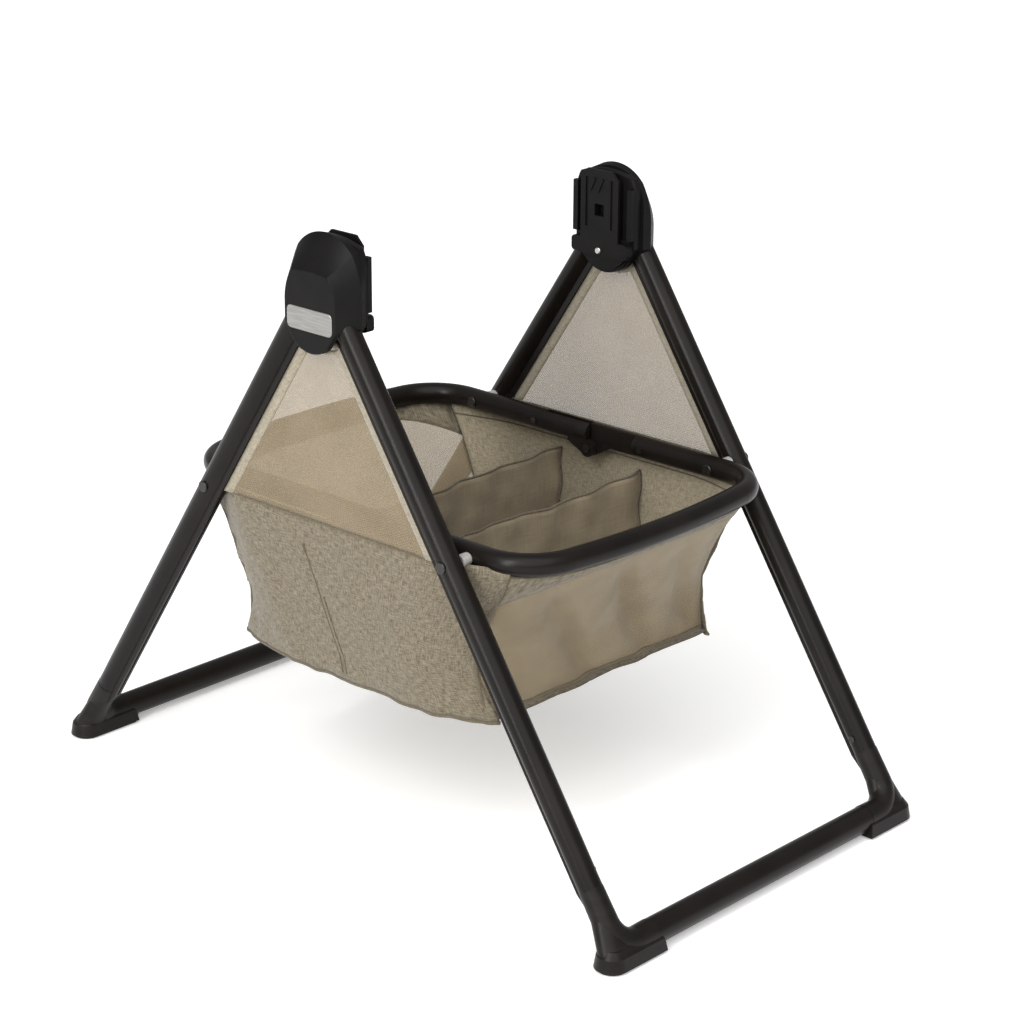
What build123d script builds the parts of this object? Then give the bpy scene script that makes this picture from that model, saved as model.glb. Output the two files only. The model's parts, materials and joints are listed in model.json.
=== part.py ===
from build123d import *
import os
from math import atan2, cos, degrees, hypot, sin, sqrt

# Folding stand for a bassinet, with a fabric storage basket between its legs.
# Millimetres. The origin is on the floor in the middle of the stand, +Z is up,
# +X runs from the left hub to the right hub and +Y runs from the front bar to the rear bar.

# Overall sizes
stand_width = 470.0  # between the two leg planes
foot_spread = 843.4  # between the axes of the front and rear base bars
pivot_height = 622.0  # fold pivots above the floor
pivot_spacing = 42.5  # between the two fold pivots in one hub
rim_height = 376.0  # axis of the basket rim above the floor
rim_overhang = 90.0  # how far the rim's axis reaches beyond its bolts, front and rear

# Leg extrusion: a round tube with a fabric rail on the side that faces the other leg
leg_diameter = 26.0
leg_wall = 1.8
rail_width = 9.0
rail_reach = 5.5  # how far the rail stands out of the tube
rail_lip = 1.2
keder_bore = 5.0
keder_cord = 4.0
rail_slot = 2.2
leg_top = 20.0  # from the fold pivot to the top of the tube

# Leg knuckle, its bush and its cross pin
knuckle_spigot = 40.0
spigot_clearance = 0.1
bush_diameter = 12.0
fit_clearance = 0.05
fold_pin_diameter = 8.0
cross_pin_diameter = 4.0
cross_pin_place = 29.0  # from the fold pivot, hidden inside the hub

# Base bars and moulded corners
bar_diameter = 30.0
bar_wall = 1.8
bar_clearance = 3.8  # under the base bars
corner_leg_arm = 67.0
corner_bar_arm = 50.0
corner_wall = 0.4  # the elbow stands this far proud of the tubes
corner_bend = 30.0
corner_spigot = 35.0
boot_length = 85.0
boot_overhang = 27.0  # beyond the leg plane
boot_width = 39.0
boot_top = 24.0
boot_draft = 2.5
boot_shoulder = 7.0  # rounded shoulder below the boot's top
boot_crown = 8.0  # how far the top is drawn in
fairing_start = 22.0  # the fairing leaves the leg arm here, below the arm's top
fairing_step = 1.5
fairing_height = 16.0  # and runs into the boot here
fairing_margin = 3.0
shoe_length = 52.0  # ramp at the lower end of the rail
pad_thickness = 3.0
pad_margin = 3.0
corner_screw_diameter = 4.0
corner_screw_head = 8.0
corner_screw_head_height = 1.6

# Basket rim
rim_diameter = 25.4
rim_wall = 1.6
rim_gap = 13.3  # from the leg to the rim, filled by a spacer
rim_corner_radius = 64.0
rim_end_radius = 1000.0
rim_bolt_diameter = 8.0
rim_bolt_head = 13.0
rim_bolt_head_height = 2.2
spacer_diameter = 14.0
spacer_gap = 0.3

# Folding hinges half way along the rim
hinge_drop = 17.0  # hinge pins below the rim's axis, so that the rim folds upwards only
hinge_reach = 70.0  # from the hinge pin to the collar at the end of the tube
hinge_collar = 3.0
hinge_plug = 20.0
hinge_slot = 8.0
hinge_tongue = 7.2
hinge_eye = 10.5
hinge_pin_diameter = 6.0
hinge_pin_head = 10.0
hinge_pin_head_height = 1.5
hinge_cheek = 11.0  # half the fork's width at its eyes
hinge_split = 0.8  # half the gap between the meeting ends
hinge_web = 30.0
hinge_screw_diameter = 4.0
hinge_screw_head = 7.5
hinge_screw_head_height = 1.4

# Hubs, measured outwards from the leg plane and up from the fold pivots
hub_gap = 1.0  # between a leg and the wall beside it
cover_wall = 5.0  # outside the legs
housing_thickness = 9.0
housing_edge = 2.0
leg_clearance = 0.5
hub_margin = 19.75  # from a knuckle's eye to the hub's side
hub_bottom = -54.0
# Hub sections: how far in from the hub's side, and how high, at the lobe, both ends of the
# straight side, the shoulder and the neck; then the top
cover_edge_section = ((23.0, -43.0), (4.0, -21.0), (4.0, 22.0), (6.5, 42.0), (13.0, 57.0))
cover_edge_top = 70.5
cover_crest = -5.0  # where the cover is widest
cover_crest_section = ((23.0, -43.0), (0.0, -21.0), (0.0, 12.0), (4.0, 34.0), (13.0, 54.0))
cover_crest_top = 73.0
cover_face_section = ((29.0, -45.0), (16.0, -24.0), (16.0, -2.0), (20.0, 20.0), (27.0, 33.0))
cover_face_top = 35.0
cover_ridge = 2.0  # rounding of the outer face's edge
housing_section = ((25.0, -44.0), (8.0, -20.0), (8.0, 36.0), (9.5, 50.0), (14.0, 60.0))
housing_top = 68.0
guide_place = 41.0  # upright guides on the housing, on both sides of the mount post
guide_width = 7.0
guide_low = -9.5
guide_high = 50.0
guide_depth = 6.0
hollow_skin = 19.0  # left outside the hollow
hollow_half = 34.0
hollow_low = 20.0
hollow_shoulder = 30.0
hollow_neck = 18.0
hollow_top = 56.0
cover_screw_place = (20.0, 40.0)
cover_boss = 9.0
hub_screw_diameter = 4.0
hub_screw_head = 8.0
hub_screw_head_height = 2.4
hub_screw_length = 16.0
fold_pin_cover = 2.0  # wall left over the outer end of a fold pin
fold_pin_seat = 3.0  # wall left over its inner end
badge_width = 68.0
badge_height = 25.0
badge_corner = 6.0
badge_thickness = 1.6
badge_recess = 0.8
badge_drop = 17.5  # badge centre below the fold pivots

# Mount post on the inner face of each hub
post_depth = 11.0
post_width = 57.0
post_neck = 50.0
post_flange = 3.0
post_top = 68.0
post_bottom = -16.0
post_corner = 10.0
post_groove_place = 19.0
post_groove_width = 4.0
post_groove_depth = 1.6
latch_window = 14.0
latch_window_place = 21.0
ear_width = 84.0
ear_height = 18.0
ear_place = -23.0
post_screw_place = -26.4
post_lobe = 40.0
post_lobe_place = -10.0
post_lobe_depth = 4.0
post_rib_width = 3.0
post_rib_length = 17.0
post_rib_height = 1.2
post_rib_place = 50.0
post_rib_step = 12.0
post_rib_tilt = 25.0
post_rib_shift = 4.5

# Fabric: basket walls, floor board, dividers and the mesh panels above them
cloth = 2.0
cloth_gap = 0.5
seam_gap = 0.4
mesh_thickness = 1.0
mesh_edge = 1.5  # how far the mesh reaches into the rails
mesh_hub_gap = 36.0
mesh_hub_place = -10.0
basket_depth = 180.0
waist_depth = 118.0
corner_seam_in = (-1.0, 8.0, 16.0)  # corner seams at top, waist and bottom, in from the rim's sides
corner_seam_back = (40.0, 98.0, 86.0)  # the same seams, back from the rim's ends
side_wall_in = (-1.0, 17.0, 29.0)  # long walls, in from the leg plane
side_wall_trim = (0.0, 10.0, 0.0)  # taken off the straight run of the long walls
end_wall_in = (0.0, 71.0, 84.0)  # end walls, in from the rim's ends
liner_trim = (-15.0, 12.0, 2.0)  # taken off the straight run for the liner
floor_board = 4.0
divider_place = 64.0
divider_thickness = 3.0
divider_drop = 18.0  # divider tops below the rim

# Places worked out from the sizes above
leg_plane_x = stand_width / 2
leg_radius = leg_diameter / 2
pivot_half = pivot_spacing / 2
bar_y = foot_spread / 2
bar_height = bar_diameter / 2 + bar_clearance
lean = atan2(bar_y - pivot_half, pivot_height - bar_height)
leg_length = hypot(bar_y - pivot_half, pivot_height - bar_height)
knuckle_length = leg_diameter + hub_gap
cavity = leg_radius + hub_gap
cover_face = cavity + cover_wall
housing_face = -cavity - housing_thickness
fold_pin_outer = cover_face - fold_pin_cover
fold_pin_inner = housing_face + fold_pin_seat
hub_side = pivot_half + leg_radius + hub_margin
hollow_floor = cover_face - hollow_skin
rim_radius = rim_diameter / 2
tube_start = hinge_reach + hinge_collar
rim_x = leg_plane_x - leg_radius - rim_gap - rim_radius
rim_pin_y = pivot_half + (pivot_height - rim_height) * sin(lean) / cos(lean)
rim_end = rim_pin_y + rim_overhang
rim_pin_place = (pivot_height - rim_height) / cos(lean)
rail_top = leg_radius + rail_reach
keder_place = rail_top - rail_lip - keder_bore / 2
basket_top = rim_height - rim_radius - cloth_gap
basket_waist = basket_top - waist_depth
basket_bottom = basket_top - basket_depth
divider_top = basket_top - divider_drop
front = -1
rear = 1


def leg_frame(place, end=front):
    """Plane across a leg, with its Z down the leg and its Y towards the other leg."""
    y = end * (pivot_half + place * sin(lean))
    z = pivot_height - place * cos(lean)
    down = (0, end * sin(lean), -cos(lean))
    return Plane(origin=(leg_plane_x, y, z), x_dir=(end, 0, 0), z_dir=down)


def side_frame(x, y=0.0, z=0.0):
    """Upright plane across the stand, with its Z along +X, its X to the rear and its Y up."""
    return Plane(origin=(x, y, z), x_dir=(0, 1, 0), z_dir=(1, 0, 0))


def hub_frame(outwards):
    """Upright plane at the right hub, centred between its fold pivots."""
    return side_frame(leg_plane_x + outwards, 0.0, pivot_height)


def save(part, name):
    part.label = name
    export_step(part, f"parts/{name}.step")


def save_left_and_right(part, name):
    save(part, f"{name}_right")
    save(mirror(part, about=Plane.YZ), f"{name}_left")


def save_front_and_rear(part, name):
    save(part, f"front_{name}")
    save(mirror(part, about=Plane.XZ), f"rear_{name}")


def save_four(part, name):
    save_left_and_right(part, f"front_{name}")
    save_left_and_right(mirror(part, about=Plane.XZ), f"rear_{name}")


def both_sides(part):
    """A right-hand piece and its left-hand twin as one group of separate solids."""
    return Compound(children=[part, mirror(part, about=Plane.YZ)])


os.makedirs("parts", exist_ok=True)

# Leg: tube with its fabric rail, and holes for the cross pin, the rim bolt and the corner screw
leg_end = leg_length - corner_leg_arm
leg_screw_place = leg_end - corner_spigot / 2
with BuildPart() as leg:
    with BuildSketch(leg_frame(leg_top)):
        Circle(leg_radius)
        with Locations((0, rail_top / 2)):
            Rectangle(rail_width, rail_top)
        Circle(leg_radius - leg_wall, mode=Mode.SUBTRACT)
        with Locations((0, keder_place)):
            Circle(keder_bore / 2, mode=Mode.SUBTRACT)
        with Locations((0, (keder_place + rail_top) / 2)):
            Rectangle(rail_slot, rail_top - keder_place, mode=Mode.SUBTRACT)
    extrude(amount=leg_end - leg_top)
    with BuildSketch(side_frame(leg_plane_x, leg_frame(cross_pin_place).origin.Y,
                                leg_frame(cross_pin_place).origin.Z)):
        Circle(cross_pin_diameter / 2 + fit_clearance)
    extrude(amount=leg_radius, both=True, mode=Mode.SUBTRACT)
    with BuildSketch(side_frame(leg_plane_x, -rim_pin_y, rim_height)):
        Circle(rim_bolt_diameter / 2 + fit_clearance)
    extrude(amount=leg_radius, both=True, mode=Mode.SUBTRACT)
    with BuildSketch(side_frame(leg_plane_x, leg_frame(leg_screw_place).origin.Y,
                                leg_frame(leg_screw_place).origin.Z)):
        Circle(corner_screw_diameter / 2 + fit_clearance)
    extrude(amount=-leg_radius, mode=Mode.SUBTRACT)
save_four(leg.part, "leg")

# Keder cord: the bead sewn to the mesh panel's edge, held in the rail
keder_top = leg_top + rail_top
with BuildPart() as keder:
    with BuildSketch(leg_frame(keder_top)):
        with Locations((0, keder_place)):
            Circle(keder_cord / 2)
    extrude(amount=rim_pin_place - keder_top)
save_front_and_rear(both_sides(keder.part), "keder_cords")

# Leg knuckle: moulded eye that turns on the fold pin, with a spigot up inside the tube
with BuildPart() as knuckle:
    with BuildSketch(side_frame(leg_plane_x, -pivot_half, pivot_height)):
        Circle(leg_radius)
    extrude(amount=knuckle_length / 2, both=True)
    with BuildSketch(leg_frame(0)):
        Circle(leg_radius)
    extrude(amount=leg_top)
    with BuildSketch(leg_frame(leg_top)):
        Circle(leg_radius - leg_wall - spigot_clearance)
    extrude(amount=knuckle_spigot)
    with BuildSketch(side_frame(leg_plane_x, -pivot_half, pivot_height)):
        Circle(bush_diameter / 2 + fit_clearance)
    extrude(amount=knuckle_length, both=True, mode=Mode.SUBTRACT)
    with BuildSketch(side_frame(leg_plane_x, leg_frame(cross_pin_place).origin.Y,
                                leg_frame(cross_pin_place).origin.Z)):
        Circle(cross_pin_diameter / 2 + fit_clearance)
    extrude(amount=leg_radius, both=True, mode=Mode.SUBTRACT)
save_four(knuckle.part, "leg_knuckle")

# Pivot bush inside each knuckle's eye
with BuildPart() as bush:
    with BuildSketch(side_frame(leg_plane_x, -pivot_half, pivot_height)):
        Circle(bush_diameter / 2)
        Circle(fold_pin_diameter / 2 + fit_clearance, mode=Mode.SUBTRACT)
    extrude(amount=knuckle_length / 2, both=True)
save_front_and_rear(both_sides(bush.part), "pivot_bushes")

# Cross pin that holds the knuckle in the tube, flush with the tube's sides
cross_pin_half = sqrt(leg_radius**2 - (cross_pin_diameter / 2) ** 2) - fit_clearance
with BuildPart() as cross_pin:
    with BuildSketch(side_frame(leg_plane_x, leg_frame(cross_pin_place).origin.Y,
                                leg_frame(cross_pin_place).origin.Z)):
        Circle(cross_pin_diameter / 2)
    extrude(amount=cross_pin_half, both=True)
save_front_and_rear(both_sides(cross_pin.part), "cross_pins")

# Moulded corner: an elbow from the leg to the base bar, on a boot that carries the foot pad
corner_point = leg_frame(leg_length).origin
corner_end = corner_point - Vector(corner_bar_arm, 0, 0)
bar_end = leg_plane_x - corner_bar_arm
boot_middle = leg_plane_x + boot_overhang - boot_length / 2
fairing_top = leg_frame(leg_end + fairing_start)


def boot_outline(height, inset):
    """Boot section: round at the outer end, square at the inner end."""
    bow = (boot_length - boot_width) / 2
    inner = inset - boot_length / 2
    with BuildSketch(Plane(origin=(boot_middle, -bar_y, height))) as outline:
        with Locations((bow, 0)):
            Circle(boot_width / 2 - inset)
        with Locations(((bow + inner) / 2, 0)):
            Rectangle(bow - inner, boot_width - 2 * inset)
    return outline.sketch


with BuildPart() as corner:
    with BuildLine() as elbow_path:
        FilletPolyline(leg_frame(leg_end).origin, corner_point, corner_end, radius=corner_bend)
    with BuildSketch(Plane(origin=elbow_path.line @ 0, z_dir=elbow_path.line % 0)):
        Circle(leg_radius + corner_wall)
    with BuildSketch(Plane(origin=elbow_path.line @ 1, z_dir=elbow_path.line % 1)):
        Circle(bar_diameter / 2 + corner_wall)
    sweep(path=elbow_path.line, multisection=True)
    with BuildSketch(Plane(origin=fairing_top.origin, x_dir=(1, 0, 0), z_dir=fairing_top.z_dir)):
        Circle(leg_radius + corner_wall - fairing_step)
    with BuildSketch(Plane(origin=(leg_plane_x, -bar_y, fairing_height), x_dir=(1, 0, 0),
                           z_dir=(0, 0, -1))):
        Ellipse(boot_overhang - fairing_margin, boot_width / 2 - fairing_margin)
    loft()
    loft([
        boot_outline(pad_thickness, 0),
        boot_outline(boot_top - boot_shoulder, boot_draft),
        boot_outline(boot_top, boot_crown),
    ], ruled=True)
    with BuildSketch(Plane(origin=(boot_middle, -bar_y, pad_thickness))):
        Rectangle(2 * boot_length, 2 * boot_length)
    extrude(amount=-bar_diameter, mode=Mode.SUBTRACT)
    with BuildSketch(Plane(origin=leg_frame(leg_end).origin, x_dir=leg_frame(0).y_dir,
                           z_dir=(1, 0, 0))):
        Polygon((leg_radius / 2, 0), (rail_top, 0), (leg_radius / 2, -shoe_length), align=None)
    extrude(amount=rail_width / 2, both=True)
    with BuildSketch(side_frame(bar_end, -bar_y, bar_height)):
        Circle(bar_diameter / 2 + spigot_clearance)
    extrude(amount=-boot_length, mode=Mode.SUBTRACT)
    with BuildSketch(leg_frame(leg_end - corner_spigot)):
        Circle(leg_radius - leg_wall - spigot_clearance)
    extrude(amount=corner_spigot)
    with BuildSketch(side_frame(bar_end, -bar_y, bar_height)):
        Circle(bar_diameter / 2 - bar_wall - spigot_clearance)
    extrude(amount=-corner_spigot)
    with BuildSketch(side_frame(leg_plane_x, leg_frame(leg_screw_place).origin.Y,
                                leg_frame(leg_screw_place).origin.Z)):
        Circle(corner_screw_diameter / 2 + fit_clearance)
    extrude(amount=-leg_radius, mode=Mode.SUBTRACT)
    with BuildSketch(Plane(origin=(bar_end - corner_spigot / 2, -bar_y, bar_height))):
        Circle(corner_screw_diameter / 2 + fit_clearance)
    extrude(amount=-bar_diameter / 2, mode=Mode.SUBTRACT)
save_four(corner.part, "corner")

# Rubber pad under each boot
with BuildPart() as pad:
    extrude(boot_outline(0, pad_margin), amount=pad_thickness)
    chamfer(pad.faces().sort_by(Axis.Z)[0].edges(), pad_thickness / 4)
save_four(pad.part, "foot_pad")

# Base bar across the stand
with BuildPart() as bar:
    with BuildSketch(side_frame(0, -bar_y, bar_height)):
        Circle(bar_diameter / 2)
        Circle(bar_diameter / 2 - bar_wall, mode=Mode.SUBTRACT)
    extrude(amount=bar_end, both=True)
    with BuildSketch(Plane(origin=(0, -bar_y, bar_height))):
        with Locations((bar_end - corner_spigot / 2, 0), (corner_spigot / 2 - bar_end, 0)):
            Circle(corner_screw_diameter / 2 + fit_clearance)
    extrude(amount=-bar_diameter / 2, mode=Mode.SUBTRACT)
save_front_and_rear(bar.part, "base_bar")

# Screws that hold the corner's two spigots, with low heads on the tubes' hidden sides
with BuildPart() as corner_screws:
    with BuildSketch(side_frame(leg_plane_x - leg_radius, leg_frame(leg_screw_place).origin.Y,
                                leg_frame(leg_screw_place).origin.Z)):
        Circle(corner_screw_head / 2)
    extrude(amount=-corner_screw_head_height)
    with BuildSketch(side_frame(leg_plane_x - leg_radius, leg_frame(leg_screw_place).origin.Y,
                                leg_frame(leg_screw_place).origin.Z)):
        Circle(corner_screw_diameter / 2)
    extrude(amount=leg_radius - spigot_clearance)
    with BuildSketch(Plane(origin=(bar_end - corner_spigot / 2, -bar_y,
                                   bar_height - bar_diameter / 2))):
        Circle(corner_screw_head / 2)
    extrude(amount=-corner_screw_head_height)
    with BuildSketch(Plane(origin=(bar_end - corner_spigot / 2, -bar_y,
                                   bar_height - bar_diameter / 2))):
        Circle(corner_screw_diameter / 2)
    extrude(amount=bar_diameter / 2 - spigot_clearance)
save_front_and_rear(both_sides(corner_screws.part), "corner_screws")

# Rim half: one U of tube, with bolt holes beside the legs and screw holes for the hinges
end_reach = rim_x - rim_corner_radius
end_rise = sqrt((rim_end_radius - rim_corner_radius) ** 2 - end_reach**2)
rim_corner_y = rim_end - rim_end_radius + end_rise
bow_angle = degrees(atan2(end_reach, end_rise))
hinge_screw_y = tube_start + hinge_plug / 2
with BuildPart() as rim:
    with BuildLine(Plane.XY.offset(rim_height)) as rim_path:
        right_run = Line((rim_x, -tube_start), (rim_x, -rim_corner_y))
        right_bend = JernArc(right_run @ 1, right_run % 1, rim_corner_radius, bow_angle - 90)
        end_bow = JernArc(right_bend @ 1, right_bend % 1, rim_end_radius, -2 * bow_angle)
        left_bend = JernArc(end_bow @ 1, end_bow % 1, rim_corner_radius, bow_angle - 90)
        Line(left_bend @ 1, (-rim_x, -tube_start))
    with BuildSketch(Plane(origin=rim_path.line @ 0, z_dir=rim_path.line % 0)):
        Circle(rim_radius)
        Circle(rim_radius - rim_wall, mode=Mode.SUBTRACT)
    sweep(path=rim_path.line)
    with BuildSketch(side_frame(0, -rim_pin_y, rim_height)):
        Circle(rim_bolt_diameter / 2 + fit_clearance)
    extrude(amount=stand_width, both=True, mode=Mode.SUBTRACT)
    with BuildSketch(side_frame(0, -hinge_screw_y, rim_height)):
        Circle(hinge_screw_diameter / 2 + fit_clearance)
    extrude(amount=rim_x, both=True, mode=Mode.SUBTRACT)
save(rim.part, "rim_front_tube")
save(mirror(rim.part, about=Plane.XZ), "rim_rear_tube")

# Rim bolt: shoulder bolt from the leg's outer side to the rim's inner side, fixed to the leg
with BuildPart() as rim_bolt:
    with BuildSketch(side_frame(rim_x - rim_radius, -rim_pin_y, rim_height)):
        Circle(rim_bolt_diameter / 2)
    extrude(amount=2 * rim_radius + rim_gap + leg_diameter)
    with BuildSketch(side_frame(rim_x - rim_radius - spacer_gap, -rim_pin_y, rim_height)):
        Circle(rim_bolt_head / 2)
    extrude(amount=-rim_bolt_head_height)
    with BuildSketch(side_frame(rim_x - rim_radius, -rim_pin_y, rim_height)):
        Circle(rim_bolt_diameter / 2)
    extrude(amount=-spacer_gap)
    with BuildSketch(side_frame(leg_plane_x + leg_radius, -rim_pin_y, rim_height)):
        Circle(rim_bolt_head / 2)
    extrude(amount=rim_bolt_head_height)
    fillet(rim_bolt.faces().sort_by(Axis.X)[0].edges(), rim_bolt_head_height / 2)
    fillet(rim_bolt.faces().sort_by(Axis.X)[-1].edges(), rim_bolt_head_height / 2)
save_front_and_rear(both_sides(rim_bolt.part), "rim_bolts")

# Spacer on the rim bolt, between the leg and the rim
with BuildPart() as spacer:
    with BuildSketch(side_frame(rim_x + rim_radius + spacer_gap, -rim_pin_y, rim_height)):
        Circle(spacer_diameter / 2)
        Circle(rim_bolt_diameter / 2 + fit_clearance, mode=Mode.SUBTRACT)
    extrude(amount=rim_gap - 2 * spacer_gap)
save_front_and_rear(both_sides(spacer.part), "rim_spacers")


def hinge_leaf(end):
    """Draw a hinge leaf from the side: its eye, and the web that joins it to the bar above."""
    Polygon((end * hinge_split, -rim_radius / 2), (end * hinge_web, -rim_radius / 2),
            (end * hinge_web, -rim_radius), (end * hinge_eye, -hinge_drop - hinge_eye / 2),
            (0, -hinge_drop - hinge_eye), align=None)
    with Locations((0, -hinge_drop)):
        Circle(hinge_eye)


def hinge_end(end):
    """Cross-section plane of a leaf at the end where the two rim halves meet."""
    return Plane(origin=(rim_x, end * hinge_split, rim_height), x_dir=(1, 0, 0), z_dir=(0, end, 0))


def hinge_plug_part(end):
    """Collar at the leaf's root and the plug that goes into the rim's tube."""
    root = Plane(origin=(rim_x, end * hinge_reach, rim_height), z_dir=(0, end, 0))
    with BuildPart() as plug:
        with BuildSketch(root):
            Circle(rim_radius)
        extrude(amount=hinge_collar)
        with BuildSketch(root):
            Circle(rim_radius - rim_wall - spigot_clearance)
        extrude(amount=hinge_collar + hinge_plug)
        with BuildSketch(side_frame(rim_x, end * hinge_screw_y, rim_height)):
            Circle(hinge_screw_diameter / 2 + fit_clearance)
        extrude(amount=-rim_radius, mode=Mode.SUBTRACT)
    return plug.part


# Hinge tongue on the front rim half: a round bar with flat sides, and an eye below its end
with BuildPart() as tongue:
    with BuildSketch(hinge_end(front)):
        Circle(rim_radius)
        Rectangle(hinge_tongue, rim_diameter, mode=Mode.INTERSECT)
    extrude(amount=hinge_reach - hinge_split)
    with BuildSketch(side_frame(rim_x, 0, rim_height)):
        hinge_leaf(front)
    extrude(amount=hinge_tongue / 2, both=True)
    with BuildSketch(side_frame(rim_x, 0, rim_height - hinge_drop)):
        Circle(hinge_pin_diameter / 2 + fit_clearance)
    extrude(amount=rim_radius, both=True, mode=Mode.SUBTRACT)
    add(hinge_plug_part(front))
save_left_and_right(tongue.part, "rim_hinge_tongue")

# Hinge fork on the rear rim half: a slotted round bar, with a cheek on each side of the tongue
with BuildPart() as fork:
    with BuildSketch(hinge_end(rear)):
        Circle(rim_radius)
        Rectangle(hinge_slot, rim_diameter, mode=Mode.SUBTRACT)
    extrude(amount=hinge_reach - hinge_split)
    for cheek in (-1, 1):
        with BuildSketch(side_frame(rim_x + cheek * hinge_slot / 2, 0, rim_height)):
            hinge_leaf(rear)
        extrude(amount=cheek * (hinge_cheek - hinge_slot / 2))
    with BuildSketch(side_frame(rim_x, 0, rim_height - hinge_drop)):
        Circle(hinge_pin_diameter / 2 + fit_clearance)
    extrude(amount=rim_radius, both=True, mode=Mode.SUBTRACT)
    add(hinge_plug_part(rear))
save_left_and_right(fork.part, "rim_hinge_fork")

# Hinge pins: a headed stub in each cheek of the fork
with BuildPart() as hinge_pins:
    for cheek in (-1, 1):
        with BuildSketch(side_frame(rim_x + cheek * hinge_slot / 2, 0, rim_height - hinge_drop)):
            Circle(hinge_pin_diameter / 2)
        extrude(amount=cheek * (hinge_cheek - hinge_slot / 2))
        with BuildSketch(side_frame(rim_x + cheek * hinge_cheek, 0, rim_height - hinge_drop)):
            Circle(hinge_pin_head / 2)
        extrude(amount=cheek * hinge_pin_head_height)
save(both_sides(hinge_pins.part), "rim_hinge_pins")

# Screws that hold each hinge's plug in its tube, on the rim's inner side
with BuildPart() as hinge_screw:
    with BuildSketch(side_frame(rim_x - rim_radius, -hinge_screw_y, rim_height)):
        Circle(hinge_screw_head / 2)
    extrude(amount=-hinge_screw_head_height)
    with BuildSketch(side_frame(rim_x - rim_radius, -hinge_screw_y, rim_height)):
        Circle(hinge_screw_diameter / 2)
    extrude(amount=rim_radius - spigot_clearance)
save_front_and_rear(both_sides(hinge_screw.part), "hinge_screws")


def hub_outline(outwards, section, top, bevel=0.0):
    """A hub section: a round lobe below, upright sides, curved shoulders and a domed top."""
    side = hub_side - bevel
    lobe, low, high, shoulder, neck = [(side - inset, height) for inset, height in section]
    with BuildSketch(hub_frame(outwards)) as outline:
        with BuildLine():
            ThreePointArc((-lobe[0], lobe[1]), (0, hub_bottom), lobe)
            Polyline(lobe, low, high)
            ThreePointArc(high, shoulder, neck)
            ThreePointArc(neck, (0, top), (-neck[0], neck[1]))
            ThreePointArc((-neck[0], neck[1]), (-shoulder[0], shoulder[1]), (-high[0], high[1]))
            Polyline((-high[0], high[1]), (-low[0], low[1]), (-lobe[0], lobe[1]))
        make_face()
    return outline.sketch


# Hub cover: outer shell that hides the knuckles, open below so that the legs can fold together
leg_sweep = 2 * leg_length
with BuildPart() as cover:
    loft([
        hub_outline(-cavity, cover_edge_section, cover_edge_top),
        hub_outline(cover_crest, cover_crest_section, cover_crest_top),
        hub_outline(cover_face, cover_face_section, cover_face_top),
    ], ruled=True)
    fillet(cover.faces().sort_by(Axis.X)[-1].edges(), cover_ridge)
    for end in (front, rear):
        with BuildSketch(leg_frame(0, end)):
            Circle(leg_radius + leg_clearance)
        extrude(amount=leg_sweep, mode=Mode.SUBTRACT)
    with BuildSketch(side_frame(leg_plane_x)):
        Polygon((-pivot_half, pivot_height), (pivot_half, pivot_height),
                (bar_y, bar_height), (-bar_y, bar_height), align=None)
    extrude(amount=leg_radius + leg_clearance, both=True, mode=Mode.SUBTRACT)
    with BuildSketch(hub_frame(0)):
        with Locations((-pivot_half, 0), (pivot_half, 0)):
            Circle(leg_radius + leg_clearance)
    extrude(amount=cavity, both=True, mode=Mode.SUBTRACT)
    with BuildSketch(hub_frame(-cavity)):
        Polygon((-hollow_half, hollow_low), (hollow_half, hollow_low), (hollow_half, hollow_shoulder),
                (hollow_neck, hollow_top), (-hollow_neck, hollow_top),
                (-hollow_half, hollow_shoulder), align=None)
    extrude(amount=cavity + hollow_floor, mode=Mode.SUBTRACT)
    with BuildSketch(hub_frame(-cavity)):
        with Locations(cover_screw_place, (-cover_screw_place[0], cover_screw_place[1])):
            Circle(cover_boss / 2)
    extrude(amount=cavity + hollow_floor)
    with BuildSketch(hub_frame(-cavity)):
        with Locations(cover_screw_place, (-cover_screw_place[0], cover_screw_place[1])):
            Circle(hub_screw_diameter / 2 + fit_clearance)
    extrude(amount=hub_screw_length, mode=Mode.SUBTRACT)
    with BuildSketch(hub_frame(0)):
        with Locations((-pivot_half, 0), (pivot_half, 0)):
            Circle(fold_pin_diameter / 2 + fit_clearance)
    extrude(amount=fold_pin_outer + fit_clearance, mode=Mode.SUBTRACT)
    with BuildSketch(hub_frame(cover_face)):
        with Locations((0, -badge_drop)):
            RectangleRounded(badge_width, badge_height, badge_corner)
    extrude(amount=-badge_recess, mode=Mode.SUBTRACT)
save_left_and_right(cover.part, "hub_cover")

# Bare badge plate in the cover's recess
with BuildPart() as badge:
    with BuildSketch(hub_frame(cover_face - badge_recess)):
        with Locations((0, -badge_drop)):
            RectangleRounded(badge_width - 2 * fit_clearance, badge_height - 2 * fit_clearance,
                             badge_corner)
    extrude(amount=badge_thickness)
    chamfer(badge.faces().sort_by(Axis.X)[-1].edges(), badge_recess / 2)
save_left_and_right(badge.part, "badge_plate")

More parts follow.
